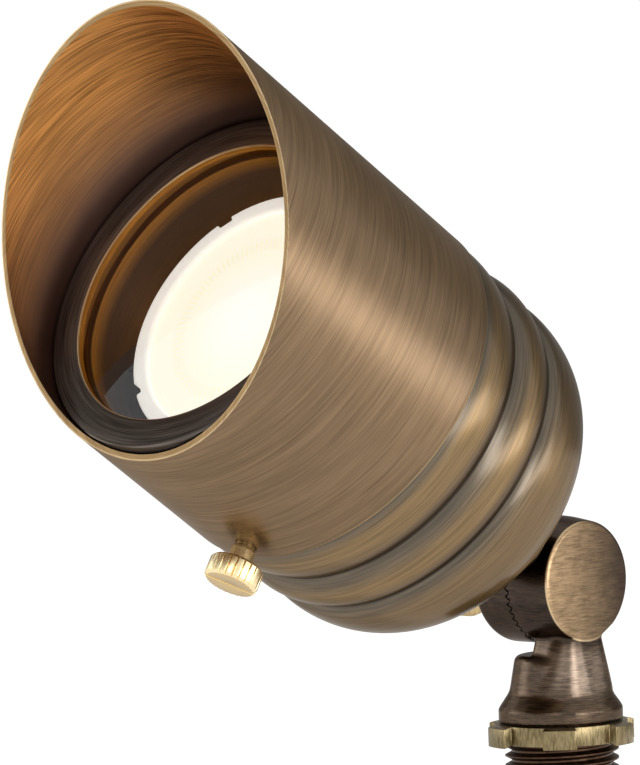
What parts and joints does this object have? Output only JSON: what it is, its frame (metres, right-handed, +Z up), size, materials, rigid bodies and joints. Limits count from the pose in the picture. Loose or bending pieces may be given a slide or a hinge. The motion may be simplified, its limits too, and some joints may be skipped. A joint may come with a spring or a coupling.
{
  "type": "outdoor spotlight",
  "caption": "Antique-brass garden spotlight: stepped round head with slant-cut glare shroud, toothed tilt knuckle and half-inch threaded stem with locknut.",
  "frame": {"origin": "on the stem's axis where its free thread begins, just under the locknut", "axes": "+Z up the stem, the head tilts about X and aims towards -Y"},
  "size_m": [0.0704, 0.1229, 0.1549],
  "materials": {
    "antique_brass": "brushed, antiqued",
    "bright_brass": "polished",
    "dark_bronze": "dark satin",
    "black_rubber": "matte",
    "clear_glass": "clear",
    "white_plastic": "matte",
    "lit_lens": "lit",
    "board": "satin",
    "ceramic": "unglazed",
    "contact_metal": "plated",
    "strap_steel": "plated"
  },
  "bodies": {
    "stem": {"stem_knuckle": "antique_brass", "threaded_nipple": "dark_bronze"},
    "locknut": {"locknut": "bright_brass"},
    "knuckle_screw": {"knuckle_screw": "bright_brass"},
    "head": {"head_knuckle": "antique_brass", "knuckle_washer": "bright_brass", "knuckle_seal": "black_rubber", "knuckle_jam_nut": "dark_bronze", "wire_grommet": "black_rubber", "housing": "antique_brass", "lens_gasket": "black_rubber", "cover_lens": "clear_glass", "lens_retainer": "dark_bronze", "lamp_bezel": "white_plastic", "lamp_optic": "lit_lens", "lamp_board": "board", "lamp_body": "white_plastic", "lamp_base": "white_plastic", "lamp_pins": "contact_metal", "lamp_socket": "ceramic", "socket_contacts": "contact_metal", "socket_bracket": "strap_steel", "socket_screws": "strap_steel"},
    "shroud_carrier": {"shroud_oring": "black_rubber"},
    "shroud": {"shroud": "antique_brass"},
    "thumb_screw": {"thumb_screw": "bright_brass"}
  },
  "joints": [
    {"name": "locknut_turn", "type": "hinge", "parent": "stem", "child": "locknut", "pos_m": [0, 0, 0], "axis": [0, 0, 1], "continuous": true},
    {"name": "knuckle_screw_turn", "type": "hinge", "parent": "stem", "child": "knuckle_screw", "pos_m": [0, 0, 0.0308], "axis": [-1, 0, 0], "range_deg": [0, 720]},
    {"name": "head_tilt", "type": "hinge", "parent": "stem", "child": "head", "pos_m": [0, 0, 0.0308], "axis": [-1, 0, 0], "range_deg": [-30, 150]},
    {"name": "shroud_slide", "type": "slide", "parent": "head", "child": "shroud_carrier", "axis": [0, -0.8279, 0.5609], "range_m": [0, 0.025]},
    {"name": "shroud_turn", "type": "hinge", "parent": "shroud_carrier", "child": "shroud", "pos_m": [0, 0, 0.0308], "axis": [0, -0.8279, 0.5609], "continuous": true},
    {"name": "thumb_screw_turn", "type": "hinge", "parent": "shroud", "child": "thumb_screw", "pos_m": [0, -0.06192, 0.07276], "axis": [0, -0.5609, -0.8279], "range_deg": [0, 720]}
  ]
}
